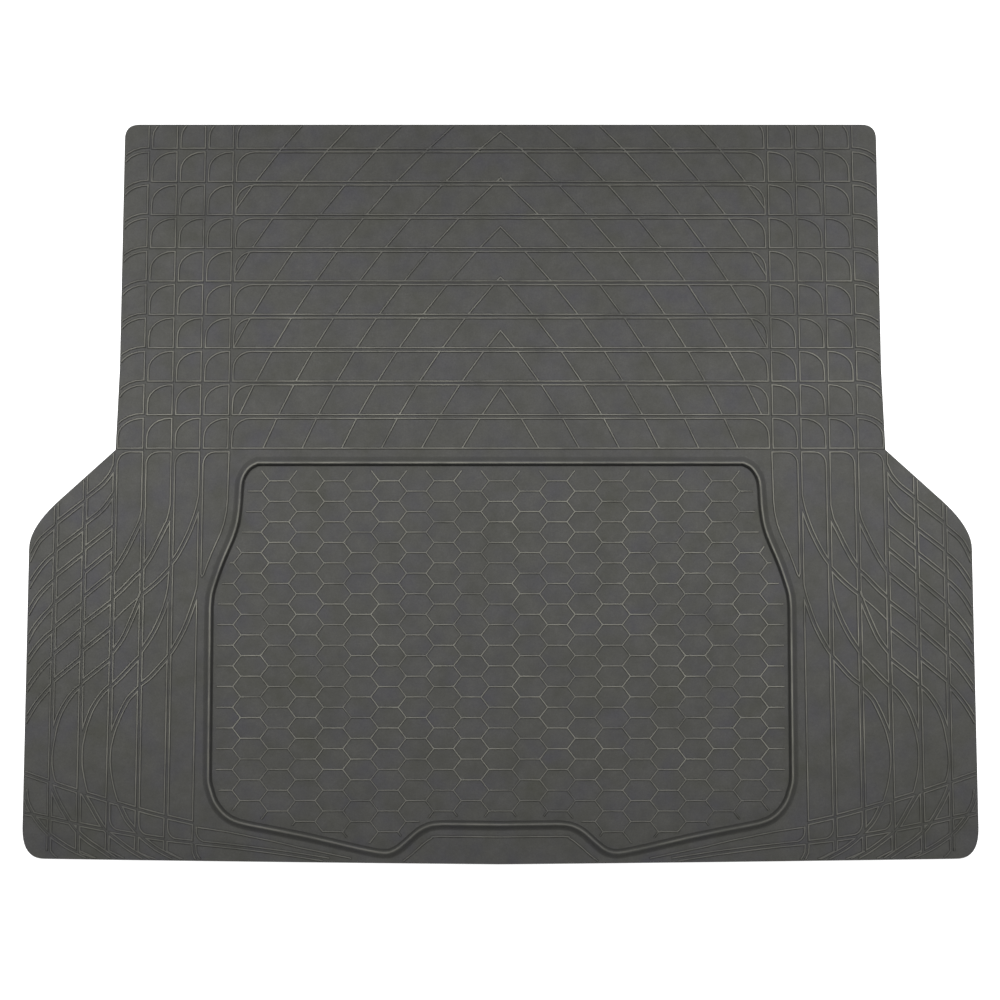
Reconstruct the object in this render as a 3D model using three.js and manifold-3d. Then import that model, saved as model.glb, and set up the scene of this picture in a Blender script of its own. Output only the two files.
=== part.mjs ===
// Moulded rubber liner for a car boot: a flat sheet with a raised lip round a honeycomb tray in
// the middle, a field of cells and falling ribs towards the seats, and ribbed wings at both sides.
// Millimetres. X runs across the boot, Y towards the seats, Z up from the sheet's flat underside.

import * as THREE from 'three';
import { mergeVertices } from 'three/addons/utils/BufferGeometryUtils.js';
import Module from 'manifold-3d';

const wasm = await Module();
wasm.setup();

// Sheet and ribs
const sheetThickness = 3;
const ribHeight = 1.4;
const ribWidth = 2.4;
const channelWidth = 5.5;
const ribEndMargin = 1.5;

// Outline of the left half, from the seats' edge to the boot's sill
const frontY = 545;
const sillY = -545;
const panelHalfWidth = 558;
const panelCornerRadius = 22;
const panelFlare = 4.3;
const flareStartY = 180;
const shoulderTop = [-567.5, 60.8];
const shoulderEnd = [-648.3, -12.5];
const wingHalfWidth = 693.3;
const wingTopY = -85;
const wingCornerY = -53;
const sillHalfWidth = 698;
const sillCornerWidth = 33;
const sillCornerHeight = 44;
const sillEndY = -537;
const sillBowX = -333;
const sillBowY = -542;

// Raised lip round the tray
const lipHeight = 8;
const lipCrestWidth = 2;
const lipOuterSlope = 8.5;
const lipInnerSlope = 3.8;
const lipRootDepth = 1;
const lipTopY = 41.3;
const lipTopHalfWidth = 356.7;
const lipWaist = [
  [-371, 32.5], [-380.5, 14], [-383, -20], [-389.5, -58], [-403, -92], [-419, -136], [-425, -172],
];
const lipSideEnd = [-425.8, -410];
const lipFoot = [
  [-421.5, -439], [-409, -464], [-388.3, -480], [-346.7, -490], [-215, -518.3], [-178, -525.6],
  [-158, -525], [-122, -496.5], [-104, -487], [-84, -485],
];
const lipNotchY = -486;
const lipReach = -lipSideEnd[0];

// Columns of cells: places of the channels between them where Y is 0, and their outward lean
const channelX = [399.6, 441.2, 482.9, 525, 567.6, 610.8, 652.9];
const columnLean = 0.0115;

// Rows of cells towards the seats
const rowStartY = 60.3;
const rowPitch = 49.55;
const rowCount = 10;
const cellArcHeight = 27;
const edgeArc = [38, 27];
const edgeArcDrop = 14;
const edgeCellWidth = 37;
const bandArc = [27, 26];
const arcSteps = 2;

// Ribs that fall outwards across the band in the middle. They start side by side at the lowest
// row, and sweep inwards and spread from row to row; those nearer the middle are further apart
const fallCount = 10;
const fallAxis = 5;
const fallStartX = -351;
const fallStep = 22.5;
const fallGrowth = 1.11;
const fallSpacing = 57.3;
const fallSpread = 0.7;
const fallFlare = 0.18;
const fallSkew = 0.25;
const fallSkewStep = 0.1;

// Honeycomb in the tray
const honeycombMargin = 12;
const honeycombPitchX = 40.4;
const honeycombPitchY = 30.15;
const honeycombFlat = 28.8;
const honeycombCentreFlat = 33.8;
const honeycombTopY = 14.8;

// Falling ribs in the wings: Y at the inner channel, Y at the outer one, and their bow
const wingRibs = [
  { channel: 6, ribs: [[-51, -105, 5], [-92, -140, 3.6], [-131, -178, 3.8], [-167, -218, 3],
    [-206, -247.5, 3.5], [-246, -290, 3.4], [-286, -338, 3.7]] },
  { channel: 5, ribs: [[-12, -47, 0], [-53, -87, 0], [-89, -124.5, 0], [-127, -164, 0],
    [-163, -199.5, 0], [-200.5, -238.7, 0], [-242, -278.7, 0], [-283, -345, 6]] },
  { channel: 4, ribs: [[38, -9, 3], [-3, -47.5, 3], [-50.5, -85, 0], [-84, -120, 0],
    [-119, -155, 0], [-161, -195, 0], [-199.5, -234, 0], [-245.5, -280, 0], [-284, -348, 6]] },
  { channel: 3, ribs: [[-27, -118, 3], [-115, -157, 2], [-148, -190, 2], [-166, -238, 2],
    [-242, -287, 0], [-287, -350, 6]] },
  { channel: 2, ribs: [[-25, -113, 3], [-110, -152, 1], [-155, -235, 2], [-239, -285, 1]] },
  { channel: 1, ribs: [[-9, -108, 3], [-143, -239, 3]] },
];
const wingFieldTop = 57.5;
const wingArches = 4;
const wingArc = 17.5;
const wingFlankEnd = -128;
const lowerFlankStart = -166;
const wingFlank = [
  [-399.7, 57.5], [-401.5, -13], [-406.7, -47], [-418.3, -77], [-430, -105],
];

// Ribs that fall along the sill: rise of the outer end over the sill's corner, place of the inner
// end, and sag below a straight line
const sillRibs = [
  { rise: 126, endX: -214, sag: 12 },
  { rise: 68, endX: -250, sag: 3 },
];

const kerb = channelWidth / 2;
const overrun = 8;
const reachIn = 0.5;
const sharpBow = 5;

// Points along a curve that bends evenly from one end to the other
function bowedLine(from, to, bow, steps) {
  const length = Math.hypot(to[0] - from[0], to[1] - from[1]);
  const side = [(from[1] - to[1]) / length, (to[0] - from[0]) / length];
  const points = [];
  for (let i = 0; i <= steps; i++) {
    const t = i / steps;
    const push = 4 * bow * t * (1 - t);
    points.push([
      from[0] + (to[0] - from[0]) * t + side[0] * push,
      from[1] + (to[1] - from[1]) * t + side[1] * push,
    ]);
  }
  return points;
}

// Quarter of an ellipse from its left end up to its top
function quarterArc(left, top, width, height, steps) {
  const points = [];
  for (let i = 0; i <= steps; i++) {
    const turn = (Math.PI / 2) * (i / steps);
    points.push([left + width * (1 - Math.cos(turn)), top - height * (1 - Math.sin(turn))]);
  }
  return points;
}

function mirrored(line) {
  return line.map(([x, y]) => [-x, y]);
}

function toPairs(points) {
  return points.map((point) => [point.x, point.y]);
}

// A closed outline from its left half, which runs from the front centre to the rear centre
function closedFromHalf(half) {
  const inner = half.filter(([x]) => x < -0.01);
  const ends = [half[0], half[half.length - 1]];
  return [ends[0], ...inner, ends[1], ...mirrored(inner).reverse()];
}

function matOutline() {
  const half = new THREE.Path();
  half.moveTo(0, frontY);
  half.lineTo(-panelHalfWidth + panelCornerRadius, frontY);
  half.quadraticCurveTo(-panelHalfWidth, frontY, -panelHalfWidth, frontY - panelCornerRadius);
  half.lineTo(-panelHalfWidth - panelFlare, flareStartY);
  half.lineTo(...shoulderTop);
  half.lineTo(...shoulderEnd);
  half.quadraticCurveTo(-wingHalfWidth, wingCornerY, -wingHalfWidth, wingTopY);
  half.lineTo(-sillHalfWidth, sillEndY + sillCornerHeight);
  half.quadraticCurveTo(-sillHalfWidth, sillEndY, -sillHalfWidth + sillCornerWidth, sillEndY);
  half.quadraticCurveTo(sillBowX, sillBowY, 0, sillY);
  return closedFromHalf(toPairs(half.getPoints(3)));
}

function lipPath() {
  const half = new THREE.Path();
  half.moveTo(0, lipTopY);
  half.lineTo(-lipTopHalfWidth, lipTopY);
  half.splineThru(lipWaist.map(([x, y]) => new THREE.Vector2(x, y)));
  half.lineTo(...lipSideEnd);
  half.splineThru(lipFoot.map(([x, y]) => new THREE.Vector2(x, y)));
  half.lineTo(0, lipNotchY);
  return closedFromHalf(toPairs(half.getPoints(1)));
}

// Closed path moved sideways; a positive distance moves a left-turning path inwards
function offsetPath(path, distance) {
  return path.map((point, i) => {
    const before = path[(i + path.length - 1) % path.length];
    const after = path[(i + 1) % path.length];
    const a = new THREE.Vector2(point[0] - before[0], point[1] - before[1]).normalize();
    const b = new THREE.Vector2(after[0] - point[0], after[1] - point[1]).normalize();
    const side = new THREE.Vector2(-a.y - b.y, a.x + b.x);
    const reach = distance / (1 + a.dot(b));
    return [point[0] + side.x * reach, point[1] + side.y * reach];
  });
}

function isInside([x, y], polygon) {
  let inside = false;
  for (let i = 0, j = polygon.length - 1; i < polygon.length; j = i, i++) {
    const [xi, yi] = polygon[i];
    const [xj, yj] = polygon[j];
    const crosses = yi > y !== yj > y && x < ((xj - xi) * (y - yi)) / (yj - yi) + xi;
    if (crosses) inside = !inside;
  }
  return inside;
}

// Where segment a-b meets segment c-d, as shares of both lengths, or null where they are parallel
function crossing(a, b, c, d) {
  const r = [b[0] - a[0], b[1] - a[1]];
  const s = [d[0] - c[0], d[1] - c[1]];
  const scale = r[0] * s[1] - r[1] * s[0];
  if (Math.abs(scale) < 1e-9) return null;
  const q = [c[0] - a[0], c[1] - a[1]];
  return [(q[0] * s[1] - q[1] * s[0]) / scale, (q[0] * r[1] - q[1] * r[0]) / scale];
}

// The stretches of an open line that lie inside a closed polygon
function piecesInside(line, polygon) {
  const pieces = [];
  let piece = [];
  for (let i = 1; i < line.length; i++) {
    const [a, b] = [line[i - 1], line[i]];
    const cuts = [0, 1];
    polygon.forEach((c, j) => {
      const meet = crossing(a, b, c, polygon[(j + 1) % polygon.length]);
      if (meet && meet[0] > 0 && meet[0] < 1 && meet[1] >= 0 && meet[1] < 1) cuts.push(meet[0]);
    });
    cuts.sort((p, q) => p - q);
    for (let k = 1; k < cuts.length; k++) {
      const at = (t) => [a[0] + (b[0] - a[0]) * t, a[1] + (b[1] - a[1]) * t];
      if (isInside(at((cuts[k - 1] + cuts[k]) / 2), polygon)) {
        if (piece.length === 0) piece.push(at(cuts[k - 1]));
        piece.push(at(cuts[k]));
      } else if (piece.length > 0) {
        pieces.push(piece);
        piece = [];
      }
    }
  }
  if (piece.length > 0) pieces.push(piece);
  return pieces;
}

function channelAt(index, y) {
  return -channelX[index] + columnLean * y;
}

function rowY(row) {
  return rowStartY + rowPitch * row;
}

// Closed ring of ribs round one cell of the field; its upper left corner is a large arc
function cellRing(column, row) {
  const low = rowY(row) + kerb;
  const high = rowY(row + 1) - kerb;
  const left = (y) => channelAt(column + 1, y) + kerb;
  const right = (y) => channelAt(column, y) - kerb;
  const arc = quarterArc(left(high), high, right(high) - left(high), cellArcHeight, arcSteps);
  return [[left(low), low], ...arc, [right(low), low], [left(low), low]];
}

// Ribs of the outermost cell of a row, which runs out at the mat's edge
function edgeCell(row) {
  const low = rowY(row) + kerb;
  const high = rowY(row + 1) - kerb;
  const right = (y) => channelAt(3, y) - kerb;
  if (row === 0) {
    const left = right(low) - edgeCellWidth;
    const arc = quarterArc(left, high, right(high) - left, edgeArc[1], arcSteps);
    return [[left, low], ...arc, [right(low), low], [left, low]];
  }
  const width = edgeArc[0];
  const top = quarterArc(right(high) - width, high, width, edgeArc[1], arcSteps);
  return [...top, [right(low), low], [right(low) - width, low - edgeArcDrop]];
}

// The cell of a row that spans the mat from the left columns to the right ones
function bandRing(row) {
  const low = rowY(row) + kerb;
  const high = rowY(row + 1) - kerb;
  const left = (y) => channelAt(0, y) + kerb;
  const half = [[left(low), low], ...quarterArc(left(high), high, ...bandArc, arcSteps)];
  return [...half, ...mirrored(half).reverse(), half[0]];
}

function fallX(rib, row) {
  const place = rib - fallAxis;
  const swept = (fallStep * (fallGrowth ** row - 1)) / (fallGrowth - 1);
  const spacing = fallSpacing + fallSpread * row + fallFlare * row ** 2;
  return fallStartX + swept + place * spacing + place ** 2 * (fallSkew + fallSkewStep * row);
}

// A rib that ends a rib's width from the middle meets its mirror image there
function meetMiddle([x, y]) {
  return [x > -ribWidth ? 0 : x, y];
}

function fieldLines() {
  const lines = [];
  for (let row = 0; row < rowCount; row++) {
    const band = bandRing(row);
    lines.push(band);
    const ribs = [edgeCell(row)];
    for (let column = 0; column < 3; column++) ribs.push(cellRing(column, row));
    const leftBand = [[0, rowY(row) + kerb], ...band.slice(0, arcSteps + 2), [0, rowY(row + 1) - kerb]];
    for (let rib = 1; rib <= fallCount; rib++) {
      const fall = [[fallX(rib, row), rowY(row)], [fallX(rib, row + 1), rowY(row + 1)]];
      ribs.push(...piecesInside(fall, leftBand).map((piece) => piece.map(meetMiddle)));
    }
    for (const rib of ribs) lines.push(rib, mirrored(rib));
  }
  return lines;
}

// Every whole cell of the honeycomb that fits inside the border, as a closed ring of six ribs
function honeycombCells(border) {
  const slant = honeycombPitchX - honeycombFlat;
  const reach = Math.ceil(lipReach / honeycombPitchX);
  const rows = Math.ceil((lipTopY - lipNotchY) / honeycombPitchY);
  const half = honeycombPitchY / 2;
  const cells = [];
  for (let column = 0; column <= reach; column++) {
    const centre = honeycombCentreFlat / 2 + slant - honeycombFlat / 2;
    const flat = column === 0 ? honeycombCentreFlat / 2 : honeycombFlat / 2;
    const x = column === 0 ? 0 : centre + column * honeycombPitchX - slant;
    const phase = column % 2 === 0 ? 0 : half;
    for (let row = 0; row < rows; row++) {
      const y = honeycombTopY - half + phase - row * honeycombPitchY;
      const cell = [
        [x - flat, y + half], [x - flat - slant, y], [x - flat, y - half],
        [x + flat, y - half], [x + flat + slant, y], [x + flat, y + half],
      ];
      if (!cell.every((corner) => isInside(corner, border))) continue;
      const ring = [...cell, cell[0]];
      cells.push(ring);
      if (column > 0) cells.push(mirrored(ring));
    }
  }
  return cells;
}

function wingLines() {
  const lines = [];
  const tilt = (x, from, to) => [[x(from), from], [x(to), to]];
  const low = sillY - overrun;
  for (let index = 1; index < channelX.length; index++) {
    const arched = index <= wingArches;
    const top = arched ? wingFieldTop : rowStartY;
    const leftKerb = (y) => channelAt(index, y) - kerb;
    const rightKerb = (y) => channelAt(index, y) + kerb;
    lines.push(tilt(leftKerb, top, low));
    if (index > 1) lines.push(tilt(rightKerb, arched ? top - wingArc : top, low));
    if (!arched) continue;
    const nextRib = index > 1 ? channelAt(index - 1, top) - kerb : wingFlank[0][0];
    lines.push([...quarterArc(rightKerb(top), top, wingArc, wingArc, arcSteps), [nextRib, top]]);
  }
  const innerKerb = (y) => channelAt(1, y) + kerb;
  lines.push([[innerKerb(wingFieldTop - wingArc), wingFieldTop - wingArc],
    [innerKerb(wingFlankEnd), wingFlankEnd], ...[...wingFlank].reverse()]);
  lines.push(tilt(innerKerb, lowerFlankStart, low));
  for (const { channel, ribs } of wingRibs) {
    for (const [innerY, outerY, bow] of ribs) {
      const inner = [channelAt(channel, innerY) - kerb + reachIn, innerY + reachIn];
      const next = channel + 1 < channelX.length ? channelAt(channel + 1, outerY) + kerb : -sillHalfWidth;
      const steps = bow > sharpBow ? 2 : 1;
      lines.push(bowedLine(inner, [next - reachIn, outerY - reachIn], -bow, steps));
    }
  }
  return lines;
}

// A falling rib near the sill, in straight pieces from channel to channel
function sillLines({ rise, endX, sag }) {
  const from = [-sillHalfWidth - overrun, sillEndY + rise];
  const to = [endX, sillEndY];
  const bends = bowedLine(from, to, -sag, channelX.length);
  const heightAt = (x) => {
    const passed = bends.slice(1, -1).filter((point) => point[0] < x).length;
    const [a, b] = [bends[passed], bends[passed + 1]];
    return a[1] + ((b[1] - a[1]) * (x - a[0])) / (b[0] - a[0]);
  };
  return channelX.map((place, index) => {
    const last = index === channelX.length - 1;
    const left = last ? from[0] + reachIn : channelAt(index + 1, from[1]) + kerb - reachIn;
    const right = index === 0 ? to[0] - reachIn : channelAt(index, to[1]) - kerb + reachIn;
    return [[left, heightAt(left)], [right, heightAt(right)]];
  });
}

// Nodes and links of a set of lines, with a node wherever two of them meet
function planarGraph(lines) {
  const grip = 0.4;
  const stub = 1.6;
  const segments = [];
  for (const line of lines) {
    for (let i = 1; i < line.length; i++) segments.push({ a: line[i - 1], b: line[i], cuts: [0, 1] });
  }
  const apart = (p, q, axis) =>
    Math.min(p.a[axis], p.b[axis]) > Math.max(q.a[axis], q.b[axis]) + grip ||
    Math.min(q.a[axis], q.b[axis]) > Math.max(p.a[axis], p.b[axis]) + grip;
  const sizeOf = ({ a, b }) => Math.hypot(b[0] - a[0], b[1] - a[1]);
  for (let i = 0; i < segments.length; i++) {
    for (let j = i + 1; j < segments.length; j++) {
      const [p, q] = [segments[i], segments[j]];
      if (apart(p, q, 0) || apart(p, q, 1)) continue;
      const meet = crossing(p.a, p.b, q.a, q.b);
      if (!meet) continue;
      const [slackP, slackQ] = [grip / sizeOf(p), grip / sizeOf(q)];
      const onP = meet[0] > -slackP && meet[0] < 1 + slackP;
      const onQ = meet[1] > -slackQ && meet[1] < 1 + slackQ;
      if (onP && onQ) {
        p.cuts.push(Math.min(1, Math.max(0, meet[0])));
        q.cuts.push(Math.min(1, Math.max(0, meet[1])));
      }
    }
  }
  const nodes = [];
  const nodeAt = (x, y) => {
    const found = nodes.findIndex((node) => Math.hypot(node.x - x, node.y - y) < grip);
    if (found >= 0) return found;
    nodes.push({ x, y, links: new Set() });
    return nodes.length - 1;
  };
  for (const { a, b, cuts } of segments) {
    cuts.sort((p, q) => p - q);
    const ids = cuts.map((t) => nodeAt(a[0] + (b[0] - a[0]) * t, a[1] + (b[1] - a[1]) * t));
    for (let i = 1; i < ids.length; i++) {
      if (ids[i] === ids[i - 1]) continue;
      nodes[ids[i]].links.add(ids[i - 1]);
      nodes[ids[i - 1]].links.add(ids[i]);
    }
  }
  nodes.forEach((node, i) => {
    if (node.links.size !== 1) return;
    const [other] = node.links;
    if (Math.hypot(nodes[other].x - node.x, nodes[other].y - node.y) > stub) return;
    node.links.delete(other);
    nodes[other].links.delete(i);
  });
  return nodes;
}

// Closed skin of a network of ridges: crests on the nodes, feet in the corners between the links
function ridgeNetwork(nodes, crestZ, rootZ, halfWidth) {
  const positions = [];
  const addPoint = (x, y, z) => positions.push(x, y, z) / 3 - 1;
  const longestMitre = 5 * halfWidth;
  for (const node of nodes) {
    if (node.links.size === 0) continue;
    node.crest = addPoint(node.x, node.y, crestZ);
    const spokes = [...node.links].map((id) => {
      const away = new THREE.Vector2(nodes[id].x - node.x, nodes[id].y - node.y).normalize();
      return { id, away, angle: Math.atan2(away.y, away.x) };
    });
    spokes.sort((p, q) => p.angle - q.angle);
    node.order = spokes.map((spoke) => spoke.id);
    if (spokes.length === 1) {
      const { away } = spokes[0];
      const left = addPoint(node.x - away.y * halfWidth, node.y + away.x * halfWidth, rootZ);
      const right = addPoint(node.x + away.y * halfWidth, node.y - away.x * halfWidth, rootZ);
      node.corners = [left, right];
      continue;
    }
    node.corners = spokes.map((spoke, i) => {
      const a = spoke.away;
      const b = spokes[(i + 1) % spokes.length].away;
      const sine = a.x * b.y - a.y * b.x;
      const straight = Math.abs(sine) < 0.02 && a.dot(b) < 0;
      const step = straight
        ? new THREE.Vector2(-a.y, a.x).multiplyScalar(halfWidth)
        : new THREE.Vector2(a.x + b.x, a.y + b.y).multiplyScalar(halfWidth / sine);
      step.clampLength(0, longestMitre);
      return addPoint(node.x + step.x, node.y + step.y, rootZ);
    });
  }
  const faces = [];
  const leftOf = (node, id) => {
    const place = node.order.indexOf(id);
    return node.corners[place];
  };
  const rightOf = (node, id) => {
    if (node.order.length === 1) return node.corners[1];
    const place = node.order.indexOf(id);
    return node.corners[(place + node.order.length - 1) % node.order.length];
  };
  nodes.forEach((node, id) => {
    if (node.links.size === 0) return;
    for (const other of node.order) {
      const far = nodes[other];
      const [nearLeft, farLeft] = [leftOf(node, other), rightOf(far, id)];
      faces.push(node.crest, far.crest, farLeft, node.crest, farLeft, nearLeft);
      if (id < other) {
        const [nearRight, farRight] = [rightOf(node, other), leftOf(far, id)];
        faces.push(nearRight, nearLeft, farLeft, nearRight, farLeft, farRight);
      }
    }
    if (node.order.length === 1) faces.push(node.crest, ...node.corners);
    for (let i = 2; i < node.corners.length && node.order.length > 2; i++) {
      faces.push(node.corners[0], node.corners[i], node.corners[i - 1]);
    }
  });
  const geometry = new THREE.BufferGeometry();
  geometry.setAttribute('position', new THREE.Float32BufferAttribute(positions, 3));
  geometry.setIndex(faces);
  return geometry;
}

// Closed skin of a sweep: every ring of the path holds the section's points at one height each
function sweptRing(path, section) {
  const rings = section.map(([distance, z]) => offsetPath(path, distance).map(([x, y]) => [x, y, z]));
  const count = path.length;
  const faces = [];
  rings.forEach((ring, r) => {
    const next = (r + 1) % rings.length;
    for (let i = 0; i < count; i++) {
      const j = (i + 1) % count;
      const [a, b] = [r * count + i, r * count + j];
      const [c, d] = [next * count + j, next * count + i];
      faces.push(a, b, c, a, c, d);
    }
  });
  const geometry = new THREE.BufferGeometry();
  geometry.setAttribute('position', new THREE.Float32BufferAttribute(rings.flat(2), 3));
  geometry.setIndex(faces);
  return geometry;
}

function solidOf(geometry) {
  geometry.deleteAttribute('normal');
  geometry.deleteAttribute('uv');
  const merged = mergeVertices(geometry, 1e-4);
  const mesh = new wasm.Mesh({
    numProp: 3,
    vertProperties: new Float32Array(merged.attributes.position.array),
    triVerts: new Uint32Array(merged.index.array),
  });
  return new wasm.Manifold(mesh);
}

function geometryOf(solid) {
  const mesh = solid.getMesh();
  const geometry = new THREE.BufferGeometry();
  geometry.setAttribute('position', new THREE.BufferAttribute(mesh.vertProperties, 3));
  geometry.setIndex(new THREE.BufferAttribute(mesh.triVerts, 1));
  geometry.computeVertexNormals();
  return geometry;
}

function plate(outline, thickness) {
  const shape = new THREE.Shape(outline.map(([x, y]) => new THREE.Vector2(x, y)));
  return solidOf(new THREE.ExtrudeGeometry(shape, { depth: thickness, bevelEnabled: false }));
}

function bootLiner() {
  const outline = matOutline();
  const ribBorder = offsetPath(outline, ribEndMargin);
  const lip = lipPath();
  const wings = [...wingLines(), ...sillRibs.flatMap(sillLines)];
  const lines = [...fieldLines(), ...wings, ...wings.map(mirrored)];
  const graph = planarGraph([
    ...lines.flatMap((line) => piecesInside(line, ribBorder)),
    ...honeycombCells(offsetPath(lip, honeycombMargin)),
  ]);
  const ribs = solidOf(ridgeNetwork(graph, sheetThickness + ribHeight, sheetThickness, ribWidth / 2));
  const rootShare = 1 + lipRootDepth / lipHeight;
  const rim = solidOf(sweptRing(lip, [
    [-lipCrestWidth / 2 - lipOuterSlope * rootShare, sheetThickness - lipRootDepth],
    [-lipCrestWidth / 2, sheetThickness + lipHeight],
    [lipCrestWidth / 2, sheetThickness + lipHeight],
    [lipCrestWidth / 2 + lipInnerSlope * rootShare, sheetThickness - lipRootDepth],
  ]));
  return plate(outline, sheetThickness).add(rim).add(ribs);
}

const rubber = new THREE.MeshStandardMaterial({ color: 0x55554f, roughness: 0.8, metalness: 0 });

const liner = new THREE.Mesh(geometryOf(bootLiner()), rubber);
liner.name = 'boot_liner';

const model = new THREE.Group();
model.add(liner);

export default model;
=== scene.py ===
"""Moulded rubber boot liner, seen from above: fine ribs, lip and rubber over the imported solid."""
import math

import bpy
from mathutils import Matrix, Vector


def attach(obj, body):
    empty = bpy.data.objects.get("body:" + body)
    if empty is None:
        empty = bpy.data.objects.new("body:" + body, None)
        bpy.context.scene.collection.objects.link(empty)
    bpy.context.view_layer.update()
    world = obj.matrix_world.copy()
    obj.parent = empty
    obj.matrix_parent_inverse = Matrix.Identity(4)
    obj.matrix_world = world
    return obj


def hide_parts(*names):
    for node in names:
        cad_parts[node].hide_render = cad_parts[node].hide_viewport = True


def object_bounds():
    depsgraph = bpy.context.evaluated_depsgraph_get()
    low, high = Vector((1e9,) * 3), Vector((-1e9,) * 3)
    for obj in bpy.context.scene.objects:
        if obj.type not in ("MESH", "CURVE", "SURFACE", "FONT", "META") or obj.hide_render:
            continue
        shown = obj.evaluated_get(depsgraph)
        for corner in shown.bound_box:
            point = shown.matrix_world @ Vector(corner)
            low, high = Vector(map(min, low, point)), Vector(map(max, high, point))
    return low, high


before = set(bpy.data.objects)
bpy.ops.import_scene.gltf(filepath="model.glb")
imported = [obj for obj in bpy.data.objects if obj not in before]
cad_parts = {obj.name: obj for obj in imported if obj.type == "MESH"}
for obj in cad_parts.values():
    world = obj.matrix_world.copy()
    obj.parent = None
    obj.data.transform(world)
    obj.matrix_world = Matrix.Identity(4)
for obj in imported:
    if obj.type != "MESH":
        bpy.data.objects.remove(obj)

CAD_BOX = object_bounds()
NODE = "boot_liner"
MM = 0.001

# Sheet and ribs, in millimetres. A channel is a pair of ribs, its kerbs, each HALF_CHANNEL from its
# middle line. All ribs stop EDGE_MARGIN inside the sheet's edge.
SHEET = 3.0
SHEET_EDGE = 0.8
RIB_HEIGHT = 1.4
HALF_CHANNEL = 2.75
EDGE_MARGIN = 2.6

# Half section of a rib, from its foot inside the sheet to beside its crest: distance, height, and
# wear and shade, which runs from -1 where shade and dirt are painted in the hollow beside the rib to
# 1 on its rubbed crest
RIB_SECTION = [(2.2, -0.3, -0.5), (1.95, 0.02, -0.5), (1.35, 0.14, -1), (0.98, 0.9, 0.2), (0.68, 1.3, 1)]
FINE_SECTION = [(2.0, -0.3, 0), (1.75, 0.02, 0), (1.25, 0.1, -1), (0.9, 0.75, 0.3), (0.6, 1.1, 1)]
FINE_HEIGHT = 1.2

# Lines closer than GRIP meet in one node, and a loose end shorter than STUB is left out
GRIP = 1.1
STUB = 1.6
# A link longer than LONG_LINK gets a node END_LINK from each end
LONG_LINK = 15.0
END_LINK = 6.0
# Past a free end, the rib's section reaches this share of its distance
END_REACH = 0.3
# Two ribs in line have a smaller sine than STRAIGHT_SINE between them, and need no mitre
STRAIGHT_SINE = 0.02
LEAST_SINE = 0.001
LONGEST_MITRE = 2.8

# Outline of the left half, from the seats' edge to the sill
FRONT_Y = 545.0
SILL_Y = -545.0
PANEL_HALF = 558.0
PANEL_CORNER = 22.0
FLARE = (-562.3, 180.0)
SHOULDER_TOP = (-567.5, 60.8)
SHOULDER_END = (-648.3, -12.5)
WING_HALF = 693.3
WING_CORNER_Y = -53.0
WING_TOP_Y = -85.0
SILL_HALF = 698.0
SILL_CORNER = (33.0, 44.0)
SILL_END_Y = -537.0
SILL_BOW = (-333.0, -542.0)

# Steps of the panel's corner, the other bends, the sheet's rounded edge and the cells' arcs, and the
# steps between two points of a smooth curve
CORNER_STEPS = 8
BEND_STEPS = 10
EDGE_STEPS = 3
ARC_STEPS = 6
WING_ARC_STEPS = 5
CURVE_STEPS = 3
LONG_CURVE_STEPS = 2

# Crest of the lip round the tray: its left half
LIP_TOP_Y = 41.3
LIP_TOP_HALF = 356.7
LIP_WAIST = [
    (-365, 37.3), (-371, 32.5), (-377, 23.5), (-380.5, 14), (-382, 0), (-383, -20), (-385.8, -43),
    (-389.5, -58), (-395, -73.3), (-403, -92), (-411, -112), (-419, -136), (-423.5, -153), (-425, -172),
]
LIP_SIDE_END = (-425.8, -410.0)
LIP_FOOT = [
    (-425.3, -425), (-421.5, -439), (-417, -452), (-409, -464), (-400, -473), (-388.3, -480),
    (-371.7, -485), (-346.7, -490), (-280, -503.3), (-215, -518.3), (-190, -523.6), (-176, -526),
    (-166, -526.6), (-157, -524.3), (-146.7, -518.3), (-131, -504.5), (-122, -496.8), (-113, -491.3),
    (-104, -487.6), (-95, -485.8), (-84, -485),
]
LIP_NOTCH_Y = -486.0
# Section of the lip: distance from its crest line, outwards where negative, height, and wear and shade;
# the negative values paint shade and dirt on the outer flank and the inner face
LIP_SECTION = [
    (-11.4, -0.3, 0), (-10.4, 0.03, 0), (-8.9, 0.4, -0.45), (-6.9, 1.6, -0.4), (-4.2, 4.6, -0.4),
    (-2.3, 6.9, -0.2), (-1.3, 7.7, 0.3), (-0.6, 8.0, 1), (0.8, 7.9, 1), (1.5, 7.1, 0),
    (2.3, 4.6, -0.4), (3.0, 1.9, -0.8), (3.8, 0.4, -1), (5.0, 0.03, 0), (6.0, -0.3, 0),
]

# Channels between the columns: distance from the middle where Y is 0, and lean outwards to the sill
CHANNEL_X = [399.6, 441.2, 482.9, 525.0, 567.6, 610.8, 652.9]
LEAN = 0.0115

# Rows of cells towards the seats: full cells beside the band, then one edge cell in each row
ROW_START = 60.3
ROW_PITCH = 49.55
ROWS = 10
CELL_COLUMNS = 3
CELL_ARC = 27.0
CELL_FLAT = 2.5
EDGE_ARC = (38.0, 27.0)
EDGE_GAP = 7.3
EDGE_CELL = 37.0
BAND_ARC = (27.0, 26.0)

# Falling ribs across the band: where the middle one starts, its steps from row to row and their
# growth, and how far apart the ribs are and how that changes with the rows
FALLS = 10
FALL_AXIS = 5
FALL_START = -351.0
FALL_STEP = 22.5
FALL_GROWTH = 1.11
FALL_SPACING = 57.3
FALL_SPREAD = 0.7
FALL_FLARE = 0.18
FALL_SKEW = 0.25
FALL_SKEW_STEP = 0.1
# Shorter pieces are left out, and ends nearer to the middle than MIDDLE_GAP lie on it
SHORT_FALL = 4.0
MIDDLE_GAP = 3.0

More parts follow.
